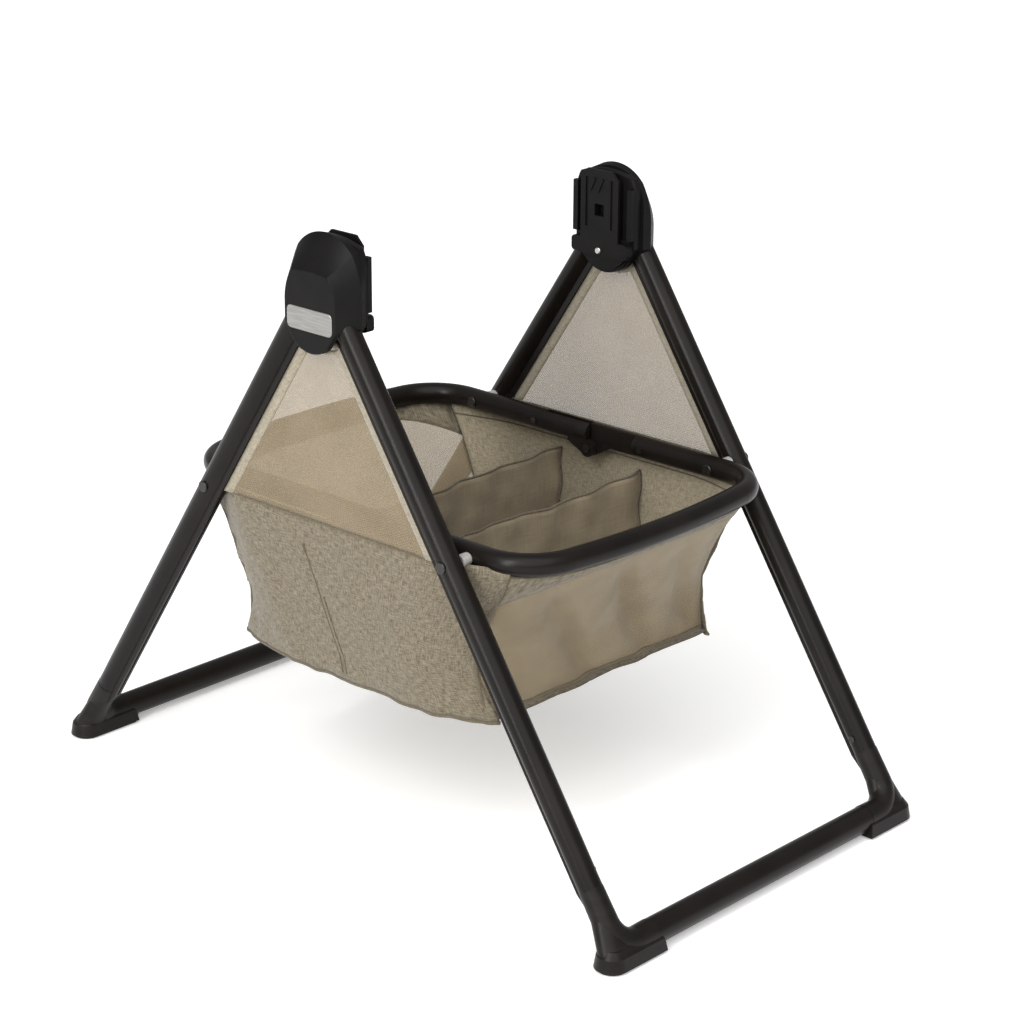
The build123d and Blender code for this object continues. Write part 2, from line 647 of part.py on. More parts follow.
# Hub housing: inner plate that carries the fold pins and the mount post
with BuildPart() as housing:
    loft([
        hub_outline(housing_face, housing_section, housing_top - housing_edge, housing_edge),
        hub_outline(housing_face + housing_edge, housing_section, housing_top),
    ], ruled=True)
    extrude(hub_outline(housing_face + housing_edge, housing_section, housing_top),
            amount=housing_thickness - housing_edge)
    with BuildSketch(hub_frame(housing_face)):
        for side in (-1, 1):
            with Locations((side * guide_place, (guide_low + guide_high) / 2)):
                Rectangle(guide_width, guide_high - guide_low)
    extrude(amount=-guide_depth)
    with BuildSketch(hub_frame(-cavity)):
        with Locations((-pivot_half, 0), (pivot_half, 0)):
            Circle(fold_pin_diameter / 2 + fit_clearance)
    extrude(amount=fold_pin_inner + cavity - fit_clearance, mode=Mode.SUBTRACT)
    with BuildSketch(hub_frame(-cavity)):
        with Locations((0, post_screw_place), cover_screw_place,
                       (-cover_screw_place[0], cover_screw_place[1])):
            Circle(hub_screw_diameter / 2 + fit_clearance)
    extrude(amount=housing_face + cavity, mode=Mode.SUBTRACT)
    with BuildSketch(hub_frame(housing_face)):
        with Locations(cover_screw_place, (-cover_screw_place[0], cover_screw_place[1])):
            Circle(hub_screw_head / 2 + fit_clearance)
    extrude(amount=hub_screw_head_height + fit_clearance, mode=Mode.SUBTRACT)
save_left_and_right(housing.part, "hub_housing")

# Fold pins: two in each hub, from the cover through the bushes into the housing
with BuildPart() as fold_pins:
    with BuildSketch(hub_frame(fold_pin_inner)):
        with Locations((-pivot_half, 0), (pivot_half, 0)):
            Circle(fold_pin_diameter / 2)
    extrude(amount=fold_pin_outer - fold_pin_inner)
save(both_sides(fold_pins.part), "fold_pins")

# Mount post: a grooved T rail with a latch window, standing on two ears and a round lobe
post_face = housing_face - post_depth
post_half = post_width / 2
post_neck_half = post_neck / 2
post_shoulder = post_top - post_corner
with BuildPart() as post:
    with BuildSketch(hub_frame(post_face)):
        Polygon((-post_half, post_bottom), (post_half, post_bottom), (post_half, post_shoulder),
                (post_half - post_corner, post_top), (post_corner - post_half, post_top),
                (-post_half, post_shoulder), align=None)
    extrude(amount=post_flange)
    with BuildSketch(hub_frame(post_face + post_flange)):
        Polygon((-post_neck_half, post_bottom), (post_neck_half, post_bottom),
                (post_neck_half, post_shoulder), (post_half - post_corner, post_shoulder),
                (post_corner - post_half, post_shoulder), (-post_neck_half, post_shoulder),
                align=None)
    extrude(amount=post_depth - post_flange)
    with BuildSketch(hub_frame(post_face)):
        with Locations((0, ear_place)):
            RectangleRounded(ear_width, ear_height, ear_height / 4)
    extrude(amount=post_depth)
    with BuildSketch(hub_frame(housing_face)):
        with Locations((0, post_lobe_place)):
            Circle(post_lobe)
        with Locations((0, post_lobe_place + post_lobe)):
            Rectangle(2 * post_lobe, 2 * post_lobe, mode=Mode.SUBTRACT)
    extrude(amount=-post_lobe_depth)
    with BuildSketch(hub_frame(post_face)):
        with Locations((-post_groove_place, post_shoulder / 2), (post_groove_place, post_shoulder / 2)):
            Rectangle(post_groove_width, post_shoulder)
    extrude(amount=post_groove_depth, mode=Mode.SUBTRACT)
    with BuildSketch(hub_frame(post_face)):
        with Locations((0, latch_window_place)):
            Rectangle(latch_window, latch_window)
    extrude(amount=post_depth, mode=Mode.SUBTRACT)
    with BuildSketch(hub_frame(post_face)):
        for place in (post_rib_shift - post_rib_step / 2, post_rib_shift + post_rib_step / 2):
            with Locations(Location((place, post_rib_place), post_rib_tilt)):
                Rectangle(post_rib_width, post_rib_length)
    extrude(amount=-post_rib_height)
    with BuildSketch(hub_frame(post_face)):
        with Locations((0, post_screw_place)):
            Circle(hub_screw_diameter / 2 + fit_clearance)
    extrude(amount=post_depth, mode=Mode.SUBTRACT)
save_left_and_right(post.part, "mount_post")

# Hub screws: one through each post into its housing, two through each housing into its cover
with BuildPart() as hub_screws:
    with BuildSketch(hub_frame(post_face)):
        with Locations((0, post_screw_place)):
            Circle(hub_screw_head / 2)
    extrude(amount=-hub_screw_head_height)
    fillet(hub_screws.faces().sort_by(Axis.X)[0].edges(), hub_screw_head_height / 2)
    with BuildSketch(hub_frame(post_face)):
        with Locations((0, post_screw_place)):
            Circle(hub_screw_diameter / 2)
    extrude(amount=post_depth - housing_face - cavity - hub_gap)
    with BuildSketch(hub_frame(housing_face)):
        with Locations(cover_screw_place, (-cover_screw_place[0], cover_screw_place[1])):
            Circle(hub_screw_head / 2)
    extrude(amount=hub_screw_head_height)
    with BuildSketch(hub_frame(housing_face + hub_screw_head_height)):
        with Locations(cover_screw_place, (-cover_screw_place[0], cover_screw_place[1])):
            Circle(hub_screw_diameter / 2)
    extrude(amount=hub_screw_length)
save(both_sides(hub_screws.part), "hub_screws")

# Basket sections from top to bottom: height, corner x, corner y, straight side x and y, end y
side_run = rim_pin_y - leg_diameter - rail_reach - keder_bore
basket_sections = []
for level, height in enumerate((basket_top, basket_waist, basket_bottom)):
    basket_sections.append((
        height,
        rim_x - corner_seam_in[level],
        rim_end - corner_seam_back[level],
        leg_plane_x - side_wall_in[level],
        side_run - side_wall_trim[level],
        rim_end - end_wall_in[level],
    ))
outer_faces = [section[3] - cloth - cloth_gap for section in basket_sections]
liner_top = rim_x + rim_radius + hinge_pin_head_height + cloth_gap + cloth
liner_faces = (liner_top, min(liner_top, outer_faces[1]), outer_faces[2])

# Basket side: linen wall outside the rim, between the mesh panel above and the floor board
with BuildPart() as basket_side:
    for height, corner_x, corner_y, side_x, side_y, end_y in basket_sections:
        with BuildSketch(Plane.XY.offset(height)):
            Polygon((corner_x, -corner_y), (side_x, -side_y), (side_x, side_y),
                    (corner_x, corner_y), (corner_x - cloth, corner_y - cloth),
                    (side_x - cloth, side_y), (side_x - cloth, -side_y),
                    (corner_x - cloth, cloth - corner_y), align=None)
    loft(ruled=True)
save_left_and_right(basket_side.part, "basket_side")

# Basket liner: inner layer of the side wall, hung from the rim's outer side
with BuildPart() as liner:
    for level, section in enumerate(basket_sections):
        liner_run = side_run - liner_trim[level]
        with BuildSketch(Plane.XY.offset(section[0])):
            with Locations((liner_faces[level] - cloth / 2, 0)):
                Rectangle(cloth, 2 * liner_run)
    loft(ruled=True)
save_left_and_right(liner.part, "basket_liner")

# Basket end: bowed mesh wall under the rim's end
with BuildPart() as basket_end:
    for height, corner_x, corner_y, side_x, side_y, end_y in basket_sections:
        edge_x = corner_x - seam_gap
        with BuildSketch(Plane.XY.offset(height)):
            with BuildLine():
                ThreePointArc((-edge_x, -corner_y), (0, -end_y), (edge_x, -corner_y))
                Line((edge_x, -corner_y), (edge_x - cloth, cloth - corner_y))
                ThreePointArc((edge_x - cloth, cloth - corner_y), (0, cloth - end_y),
                              (cloth - edge_x, cloth - corner_y))
                Line((cloth - edge_x, cloth - corner_y), (-edge_x, -corner_y))
            make_face()
    loft(ruled=True)
save(basket_end.part, "basket_end_front")
save(mirror(basket_end.part, about=Plane.XZ), "basket_end_rear")


def wall_at(height):
    """Inner face of the basket's liner at a height."""
    upper = 0 if height > basket_waist else 1
    levels = (basket_top, basket_waist, basket_bottom)
    share = (levels[upper] - height) / (levels[upper] - levels[upper + 1])
    face = liner_faces[upper] + share * (liner_faces[upper + 1] - liner_faces[upper])
    return face - cloth - cloth_gap


# Floor board: stiff bottom inside the four walls
floor_top = basket_bottom + floor_board
floor_corner_x = basket_sections[2][1] - 2 * cloth - cloth_gap
floor_corner_y = basket_sections[2][2] - 2 * cloth - cloth_gap
with BuildPart() as floor:
    with BuildSketch(Plane.XY.offset(basket_bottom)):
        Polygon((-floor_corner_x, -floor_corner_y), (floor_corner_x, -floor_corner_y),
                (wall_at(basket_bottom), -side_run), (wall_at(basket_bottom), side_run),
                (floor_corner_x, floor_corner_y), (-floor_corner_x, floor_corner_y),
                (-wall_at(basket_bottom), side_run), (-wall_at(basket_bottom), -side_run),
                align=None)
    extrude(amount=floor_board)
save(floor.part, "basket_floor")

# Dividers: two cloth walls across the basket
with BuildPart() as divider:
    with BuildSketch(Plane(origin=(0, -divider_place, 0), x_dir=(1, 0, 0), z_dir=(0, -1, 0))):
        Polygon((-wall_at(floor_top), floor_top + cloth_gap), (wall_at(floor_top), floor_top + cloth_gap),
                (wall_at(basket_waist), basket_waist), (wall_at(divider_top), divider_top),
                (-wall_at(divider_top), divider_top), (-wall_at(basket_waist), basket_waist),
                align=None)
    extrude(amount=divider_thickness / 2, both=True)
save(divider.part, "divider_front")
save(mirror(divider.part, about=Plane.XZ), "divider_rear")

# Mesh panel: fills the triangle between two legs, from the hub's lobe to the basket side
mesh_bottom = basket_top + cloth_gap
mesh_inset = (rail_top - mesh_edge) / cos(lean)


def rail_edge(height):
    """Where the mesh's edge lies inside the rail, at a height."""
    return pivot_half + (pivot_height - height) * sin(lean) / cos(lean) - mesh_inset


mesh_apex = pivot_height - (mesh_inset - pivot_half) * cos(lean) / sin(lean)
with BuildPart() as mesh_panel:
    with BuildSketch(side_frame(leg_plane_x)):
        Polygon((-rail_edge(mesh_bottom), mesh_bottom), (rail_edge(mesh_bottom), mesh_bottom),
                (0, mesh_apex), align=None)
        with Locations((0, pivot_height + mesh_hub_place)):
            Circle(mesh_hub_gap, mode=Mode.SUBTRACT)
    extrude(amount=mesh_thickness / 2, both=True)
save_left_and_right(mesh_panel.part, "mesh_panel")
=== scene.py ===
# %% [markdown]
# # A folding bassinet stand
# The stand is two leg frames that meet in two black hubs, with a cloth storage basket hung between the
# legs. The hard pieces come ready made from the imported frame, so this lesson paints them and sews the
# cloth. Lengths are written in millimetres, as a maker would, and turned into metres when a mesh is
# made.

# %% Load the frame
import json
import math

import bpy
from mathutils import Matrix, Vector, noise


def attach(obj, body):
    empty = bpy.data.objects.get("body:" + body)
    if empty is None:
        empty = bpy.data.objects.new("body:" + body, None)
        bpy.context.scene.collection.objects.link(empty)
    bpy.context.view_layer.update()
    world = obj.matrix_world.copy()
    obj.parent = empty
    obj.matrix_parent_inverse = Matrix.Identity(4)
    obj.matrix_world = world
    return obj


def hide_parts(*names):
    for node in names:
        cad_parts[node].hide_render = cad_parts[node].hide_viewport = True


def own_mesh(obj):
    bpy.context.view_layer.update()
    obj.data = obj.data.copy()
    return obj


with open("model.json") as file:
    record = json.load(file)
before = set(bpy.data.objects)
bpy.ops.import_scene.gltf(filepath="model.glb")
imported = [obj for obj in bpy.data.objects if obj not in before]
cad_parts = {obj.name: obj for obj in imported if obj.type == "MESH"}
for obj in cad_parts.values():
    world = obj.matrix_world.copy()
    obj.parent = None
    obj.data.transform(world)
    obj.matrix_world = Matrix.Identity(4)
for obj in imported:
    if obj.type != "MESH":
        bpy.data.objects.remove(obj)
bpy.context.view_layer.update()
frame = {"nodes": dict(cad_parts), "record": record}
MM = 0.001

# %% [markdown]
# ## The camera
# The photograph was taken with a long lens from the front left, looking down about twenty degrees. The
# place and the turn of the camera were solved from the straight legs and bars, so the camera is built
# from three directions (right, up and back) instead of by eye.

# %% Camera
plan_angle = math.radians(42.936)
dip = math.radians(19.733)
tilt = math.radians(0.31)
camera_place = Vector((-2.1827, -2.0839, 1.4099))
look = Vector((math.cos(plan_angle) * math.cos(dip), math.sin(plan_angle) * math.cos(dip), -math.sin(dip)))
level_right = look.cross(Vector((0, 0, 1))).normalized()
level_up = level_right.cross(look)
right = level_right * math.cos(tilt) + level_up * math.sin(tilt)
up = level_up * math.cos(tilt) - level_right * math.sin(tilt)

lens = bpy.data.cameras.new("photo_lens")
lens.lens = 99.23
lens.sensor_width = 36.0
lens.clip_end = 60.0
camera = bpy.data.objects.new("photo_camera", lens)
turn = Matrix((right, up, -look)).transposed().to_4x4()
camera.matrix_world = Matrix.Translation(camera_place) @ turn
bpy.context.scene.collection.objects.link(camera)
bpy.context.scene.camera = camera
print("camera at", [round(c, 3) for c in camera.matrix_world.translation], "lens", lens.lens)

# %% [markdown]
# ## Colours and nodes
# Colours are picked as the hex values that a paint program shows, and shaders work in linear light, so
# one function turns the first into the second. A second small function adds any shader node: it sets the
# node's options, then fills each input with a number or links it to another node's output.

# %% Colour and node helpers
def linear(hex_code):
    """A hex colour as the linear red, green, blue and alpha that a shader expects."""
    parts = [int(hex_code[i:i + 2], 16) / 255 for i in (1, 3, 5)]
    return tuple(c / 12.92 if c <= 0.04045 else ((c + 0.055) / 1.055) ** 2.4 for c in parts) + (1.0,)


def add_node(tree, kind, inputs=None, **settings):
    """Add one node, set its options, and fill or link its inputs."""
    node = tree.nodes.new("ShaderNode" + kind)
    for name, value in settings.items():
        setattr(node, name, value)
    for name, value in (inputs or {}).items():
        if isinstance(value, bpy.types.NodeSocket):
            tree.links.new(value, node.inputs[name])
        else:
            node.inputs[name].default_value = value
    return node


def new_material(name, **sockets):
    """A material with its principled shader's constant sockets set; returns it with its tree and shader."""
    material = bpy.data.materials.new(name)
    material.use_nodes = True
    shader = material.node_tree.nodes["Principled BSDF"]
    for socket, value in sockets.items():
        shader.inputs[socket.replace("_", " ")].default_value = value
    return material, material.node_tree, shader


def two_tones(tree, factor, low, high, start=0.35, end=0.65):
    """A ramp from one colour to another, driven by a texture's output."""
    ramp = add_node(tree, "ValToRGB", {"Fac": factor})
    ramp.color_ramp.elements[0].position = start
    ramp.color_ramp.elements[0].color = linear(low)
    ramp.color_ramp.elements[1].position = end
    ramp.color_ramp.elements[1].color = linear(high)
    return ramp.outputs["Color"]


def per_metre(size_mm):
    """Texture scale that makes features about this many millimetres wide."""
    return 1000.0 / size_mm


print("mid grey in linear light:", round(linear("#808080")[0], 3))

# %% [markdown]
# ## Floor and light
# A plain pale floor and an even studio. One wide silk, above and behind the camera, does most of the
# work: it is a sun lamp with a very large angle, so the floor is equally white everywhere and the stand
# leaves only a soft shadow. The floor glows a little, as a light table does, which keeps that shadow
# pale. The surround is a mid grey, because a white one would wash out the dark tubes with reflections.

# %% Floor
floor_paint, tree, shader = new_material("matt_studio_floor", Roughness=0.9, Specular_IOR_Level=0.1,
                                          Emission_Color=linear("#ffffff"), Emission_Strength=0.24)
where = add_node(tree, "TexCoord").outputs["Object"]
mottle = add_node(tree, "TexNoise", {"Vector": where, "Scale": 0.8, "Detail": 2.0}).outputs["Fac"]
tree.links.new(two_tones(tree, mottle, "#f6f6f5", "#fafaf9"), shader.inputs["Base Color"])

floor_mesh = bpy.data.meshes.new("studio_floor")
floor_radius, floor_corners = 14.0, 96
ring = []
for i in range(floor_corners):
    angle = 2 * math.pi * i / floor_corners
    ring.append((floor_radius * math.cos(angle), floor_radius * math.sin(angle), 0.0))
floor_mesh.from_pydata(ring, [], [tuple(range(floor_corners))])
floor_mesh.materials.append(floor_paint)
studio_floor = bpy.data.objects.new("studio_floor", floor_mesh)
bpy.context.scene.collection.objects.link(studio_floor)
print("floor", round(floor_mesh.polygons[0].area, 1), "square metres")

# %% Lights
# The plain view transform shows each colour as it was picked.
bpy.context.scene.view_settings.view_transform = "Standard"
surround = bpy.data.worlds.new("studio_surround")
bpy.context.scene.world = surround
surround.use_nodes = True
surround.node_tree.nodes["Background"].inputs["Color"].default_value = linear("#ffffff")
surround.node_tree.nodes["Background"].inputs["Strength"].default_value = 0.42

silk = bpy.data.lights.new("overhead_silk", "SUN")
silk.energy = 2.5
silk.angle = math.radians(75)
overhead_silk = bpy.data.objects.new("overhead_silk", silk)
silk_direction = Vector((0.55, 0.45, -0.85))
overhead_silk.rotation_euler = silk_direction.to_track_quat("-Z", "Y").to_euler()
bpy.context.scene.collection.objects.link(overhead_silk)

# A narrow strip light on the camera's left draws the long highlights along the tubes.
strip = bpy.data.lights.new("strip_box", "AREA")
strip.shape = "RECTANGLE"
strip.size = 0.2
strip.size_y = 3.0
strip.energy = 80
strip_box = bpy.data.objects.new("strip_box", strip)
strip_box.location = (-3.2, -0.6, 1.9)
basket_middle = Vector((0, 0, 0.35))
strip_box.rotation_euler = (basket_middle - strip_box.location).to_track_quat("-Z", "Y").to_euler()
bpy.context.scene.collection.objects.link(strip_box)
print("silk", silk.energy, "strip", strip.energy)

# %% [markdown]
# ## Paint for the hard pieces
# The tubes are aluminium with a dark brown satin powder coat: a thin orange-peel skin that blurs
# reflections into long streaks. Powder flows to bumps about a millimetre wide, which is under a pixel
# here, so the bumps are drawn at two and a half millimetres.

# %% Powder-coated aluminium
powder_coat, tree, shader = new_material("powder_coated_aluminium_satin", IOR=1.5, Specular_IOR_Level=0.15)
where = add_node(tree, "TexCoord").outputs["Object"]
cloud = add_node(tree, "TexNoise", {"Vector": where, "Scale": per_metre(70), "Detail": 3.0}).outputs["Fac"]
peel = add_node(tree, "TexNoise", {"Vector": where, "Scale": per_metre(2.5), "Detail": 2.0}).outputs["Fac"]
tree.links.new(two_tones(tree, cloud, "#120f0d", "#181412"), shader.inputs["Base Color"])
gloss = add_node(tree, "MapRange", {"Value": cloud, "To Min": 0.27, "To Max": 0.35})
tree.links.new(gloss.outputs["Result"], shader.inputs["Roughness"])
skin = add_node(tree, "Bump", {"Height": peel, "Strength": 0.12, "Distance": 0.0006})
tree.links.new(skin.outputs["Normal"], shader.inputs["Normal"])
print("tube finish:", powder_coat.name)

# %% [markdown]
# The hubs are moulded in black ABS from a spark-eroded tool, so their skin is a fine matt grit. The
# corners and the hinge leaves are glass-filled nylon, smoother, with faint flow marks. The foot pads are
# moulded rubber, which is the dullest black of all.

# %% Moulded plastics and rubber
spark_abs, tree, shader = new_material("moulded_abs_spark_texture", IOR=1.54, Specular_IOR_Level=0.12)
where = add_node(tree, "TexCoord").outputs["Object"]
grit = add_node(tree, "TexNoise", {"Vector": where, "Scale": per_metre(1.6), "Detail": 4.0}).outputs["Fac"]
haze = add_node(tree, "TexNoise", {"Vector": where, "Scale": per_metre(35), "Detail": 2.0}).outputs["Fac"]
tree.links.new(two_tones(tree, haze, "#0a0909", "#0f0e0d"), shader.inputs["Base Color"])
gloss = add_node(tree, "MapRange", {"Value": grit, "To Min": 0.42, "To Max": 0.58})
tree.links.new(gloss.outputs["Result"], shader.inputs["Roughness"])
skin = add_node(tree, "Bump", {"Height": grit, "Strength": 0.22, "Distance": 0.0005})
tree.links.new(skin.outputs["Normal"], shader.inputs["Normal"])

filled_nylon, tree, shader = new_material("moulded_glass_filled_nylon", IOR=1.53, Specular_IOR_Level=0.16)
where = add_node(tree, "TexCoord").outputs["Object"]
flow = add_node(tree, "Mapping", {"Vector": where, "Scale": (30.0, 30.0, 110.0)}).outputs["Vector"]
marks = add_node(tree, "TexNoise", {"Vector": flow, "Scale": 1.0, "Detail": 3.0}).outputs["Fac"]
grit = add_node(tree, "TexNoise", {"Vector": where, "Scale": per_metre(2.0), "Detail": 2.0}).outputs["Fac"]
tree.links.new(two_tones(tree, marks, "#120f0d", "#191513"), shader.inputs["Base Color"])
gloss = add_node(tree, "MapRange", {"Value": marks, "To Min": 0.34, "To Max": 0.48})
tree.links.new(gloss.outputs["Result"], shader.inputs["Roughness"])
skin = add_node(tree, "Bump", {"Height": grit, "Strength": 0.12, "Distance": 0.0005})
tree.links.new(skin.outputs["Normal"], shader.inputs["Normal"])

pad_rubber, tree, shader = new_material("moulded_rubber_matt", Roughness=0.8, IOR=1.52)
where = add_node(tree, "TexCoord").outputs["Object"]
bloom = add_node(tree, "TexNoise", {"Vector": where, "Scale": per_metre(9), "Detail": 4.0}).outputs["Fac"]
tree.links.new(two_tones(tree, bloom, "#100f0e", "#181615"), shader.inputs["Base Color"])
skin = add_node(tree, "Bump", {"Height": bloom, "Strength": 0.2, "Distance": 0.0004})
tree.links.new(skin.outputs["Normal"], shader.inputs["Normal"])
print("black mouldings:", spark_abs.name, filled_nylon.name, pad_rubber.name)

# %% [markdown]
# The badge plate is anodised aluminium, brushed along its length before it was dyed clear, so its fine
# lines run front to rear. Pins and hub screws are steel with bright zinc plating, and the bolts and
# screws on the tubes are plated black. The bushes, the spacers on the bolts and the beads in the rails
# are pale plastics.

# %% Metals and small plastics
brushed_plate, tree, shader = new_material("brushed_anodised_aluminium", Metallic=1.0)
where = add_node(tree, "TexCoord").outputs["Object"]
stretch = add_node(tree, "Mapping", {"Vector": where, "Scale": (40.0, 40.0, 1400.0)}).outputs["Vector"]
lines = add_node(tree, "TexNoise", {"Vector": stretch, "Scale": 1.0, "Detail": 4.0}).outputs["Fac"]
tree.links.new(two_tones(tree, lines, "#8d8c89", "#a9a8a5"), shader.inputs["Base Color"])
gloss = add_node(tree, "MapRange", {"Value": lines, "To Min": 0.34, "To Max": 0.46})
tree.links.new(gloss.outputs["Result"], shader.inputs["Roughness"])

zinc_steel, tree, shader = new_material("zinc_plated_steel", Metallic=1.0)
where = add_node(tree, "TexCoord").outputs["Object"]
spangle = add_node(tree, "TexNoise", {"Vector": where, "Scale": per_metre(3), "Detail": 3.0}).outputs["Fac"]
tree.links.new(two_tones(tree, spangle, "#a9a8a5", "#c6c5c2"), shader.inputs["Base Color"])
gloss = add_node(tree, "MapRange", {"Value": spangle, "To Min": 0.2, "To Max": 0.36})
tree.links.new(gloss.outputs["Result"], shader.inputs["Roughness"])

black_zinc, tree, shader = new_material("black_zinc_plated_steel", IOR=1.5)
where = add_node(tree, "TexCoord").outputs["Object"]
spangle = add_node(tree, "TexNoise", {"Vector": where, "Scale": per_metre(3), "Detail": 3.0}).outputs["Fac"]
tree.links.new(two_tones(tree, spangle, "#0f0e0d", "#1a1816"), shader.inputs["Base Color"])
gloss = add_node(tree, "MapRange", {"Value": spangle, "To Min": 0.22, "To Max": 0.34})
tree.links.new(gloss.outputs["Result"], shader.inputs["Roughness"])

pale_acetal, tree, shader = new_material("moulded_acetal_pale_grey", IOR=1.48)
where = add_node(tree, "TexCoord").outputs["Object"]
haze = add_node(tree, "TexNoise", {"Vector": where, "Scale": per_metre(6), "Detail": 2.0}).outputs["Fac"]
tree.links.new(two_tones(tree, haze, "#96948f", "#adaba6"), shader.inputs["Base Color"])
gloss = add_node(tree, "MapRange", {"Value": haze, "To Min": 0.25, "To Max": 0.38})
tree.links.new(gloss.outputs["Result"], shader.inputs["Roughness"])
print("metals and small plastics:", brushed_plate.name, zinc_steel.name, black_zinc.name, pale_acetal.name)

# %% Paint the carried-over pieces
paint_for_slot = {
    "tube": powder_coat, "hub_plastic": spark_abs, "rubber": pad_rubber,
    "corner_plastic": filled_nylon, "hinge_plastic": filled_nylon,
    "badge": brushed_plate, "steel": zinc_steel, "black_steel": black_zinc,
    "spacer": pale_acetal, "bush": pale_acetal, "keder": pale_acetal,
}
painted = 0
for entry in frame["record"]["subparts"]:
    node = frame["nodes"][entry["node"]]
    paint = paint_for_slot.get(entry["material_slot"])
    if paint:
        node.data.materials.clear()
        node.data.materials.append(paint)
        painted += 1
print("painted", painted, "hard pieces")

# %% [markdown]
# ## Cloth
# The side walls are a linen-look polyester: pale and dark slub yarns cross each other, so the cloth
# looks heathered. The yarns are about half a millimetre apart, too fine to show at this distance, so
# they are drawn about one and a half millimetres apart. Streaks that are thin across and long along the
# yarn make the slubs, once in each direction, and they follow the flat cut of each sheet through its UV
# map. The cloth inside the basket is the same weave drawn paler, as painted light that lifts the shade
# inside the basket, and the dividers are a smooth taffeta with a slight shine.

# %% Linen-look weave
def weave(name, dark, light, yarn_mm, slub_mm, rough, fuzz, relief):
    """A woven cloth of slub yarns that cross at right angles, measured along the flat cut of the sheet."""
    cloth, tree, shader = new_material(name, Roughness=rough, Sheen_Weight=fuzz, Sheen_Roughness=0.5,
                                       Specular_IOR_Level=0.2)
    cut = add_node(tree, "TexCoord").outputs["UV"]
    across, along = per_metre(yarn_mm), per_metre(slub_mm)
    warp_way = add_node(tree, "Mapping", {"Vector": cut, "Scale": (across, along, 1.0)}).outputs["Vector"]
    weft_way = add_node(tree, "Mapping", {"Vector": cut, "Scale": (along, across, 1.0)}).outputs["Vector"]
    warp = add_node(tree, "TexNoise", {"Vector": warp_way, "Scale": 1.0, "Detail": 3.0}).outputs["Fac"]
    weft = add_node(tree, "TexNoise", {"Vector": weft_way, "Scale": 1.0, "Detail": 3.0}).outputs["Fac"]
    both = add_node(tree, "Math", {0: warp, 1: weft}, operation="ADD").outputs["Value"]
    half = add_node(tree, "Math", {0: both, 1: 0.5}, operation="MULTIPLY").outputs["Value"]
    tree.links.new(two_tones(tree, half, dark, light, 0.38, 0.62), shader.inputs["Base Color"])
    skin = add_node(tree, "Bump", {"Height": half, "Strength": relief, "Distance": 0.0012})
    tree.links.new(skin.outputs["Normal"], shader.inputs["Normal"])
    return cloth


# Each line: dark and light yarn, yarn width and slub length in millimetres, roughness, fuzz and relief.
linen = weave("woven_polyester_linen_look", "#50483a", "#7f7664", 1.4, 8.0, 0.88, 0.2, 0.4)
# The liner is the same linen with paler yarns: painted light that makes up for the shade inside the basket.
liner_linen_painted_paler = weave("woven_polyester_linen_look_inside_painted_paler", "#7a715d", "#a09681", 1.4, 8.0, 0.88, 0.2, 0.4)
lining = weave("woven_polyester_taffeta", "#80745f", "#8f836e", 1.4, 30.0, 0.5, 0.15, 0.12)
tape = weave("woven_polyester_binding_tape", "#4d4537", "#6b624f", 1.8, 6.0, 0.8, 0.2, 0.4)
rail_cloth = weave("woven_polyester_rail_tape", "#7d7565", "#9c9483", 1.6, 8.0, 0.85, 0.2, 0.4)
thread = weave("spun_polyester_thread", "#4b4334", "#665c48", 1.0, 3.0, 0.75, 0.2, 0.3)
print("cloths:", ", ".join(cloth.name for cloth in (linen, liner_linen_painted_paler, lining, tape, rail_cloth, thread)))

# %% [markdown]
# The panels between the legs and the basket's ends are a warp-knitted net. From a step away its holes
# melt into a veil that lets about a fifth of the light through. Real holes are near one millimetre, so
# the knit is drawn at two millimetres. Two sets of waves cross at a slant and their product is the
# diamond of the knit, which sets how far each spot covers what is behind it. The sheet has two faces, so
# each covers only part.

# %% Knitted nets
def knitted_net(name, dark, light, least, most):
    """A net whose diamonds cover from least to most of what is behind them."""
    cloth, tree, shader = new_material(name, Roughness=0.7, Sheen_Weight=0.2, Specular_IOR_Level=0.25)
    cut = add_node(tree, "TexCoord").outputs["UV"]
    slants = []
    for slant in (knit_slant, -knit_slant):
        leaning = add_node(tree, "Mapping", {"Vector": cut, "Rotation": (0.0, 0.0, slant)}).outputs["Vector"]
        slants.append(add_node(tree, "TexWave", {"Vector": leaning, "Scale": wave_scale}).outputs["Fac"])
    knit = add_node(tree, "Math", {0: slants[0], 1: slants[1]}, operation="MAXIMUM").outputs["Value"]
    cover = add_node(tree, "MapRange", {"Value": knit, "From Min": 0.3, "To Min": least, "To Max": most})
    cloud = add_node(tree, "TexNoise", {"Vector": cut, "Scale": per_metre(60), "Detail": 2.0}).outputs["Fac"]
    tree.links.new(two_tones(tree, cloud, dark, light), shader.inputs["Base Color"])
    tree.links.new(cover.outputs["Result"], shader.inputs["Alpha"])
    return cloth


knit_mm, knit_slant = 2.0, math.radians(58)
wave_scale = 2 * math.pi / (20 * knit_mm * MM)
panel_net = knitted_net("warp_knitted_polyester_net", "#85775f", "#8d7e67", 0.5, 0.66)
end_net = knitted_net("warp_knitted_polyester_net_dense", "#8b7c63", "#93846a", 0.54, 0.7)
print("nets drawn at", knit_mm, "mm")

# %% [markdown]
# ## Sewing helpers
# Each sheet is a grid of points, given row by row from its top edge down. The helper turns the rows into
# a mesh, lays the flat cut into the UV map in metres, and gives the cloth its thickness with a modifier.
# A piece that is hung on the stand rides with the hubs.

# %% Grid to cloth
def steps(points):
    """Running length along a line of points."""
    run = [0.0]
    for a, b in zip(points, points[1:]):
        run.append(run[-1] + (Vector(b) - Vector(a)).length)
    return run


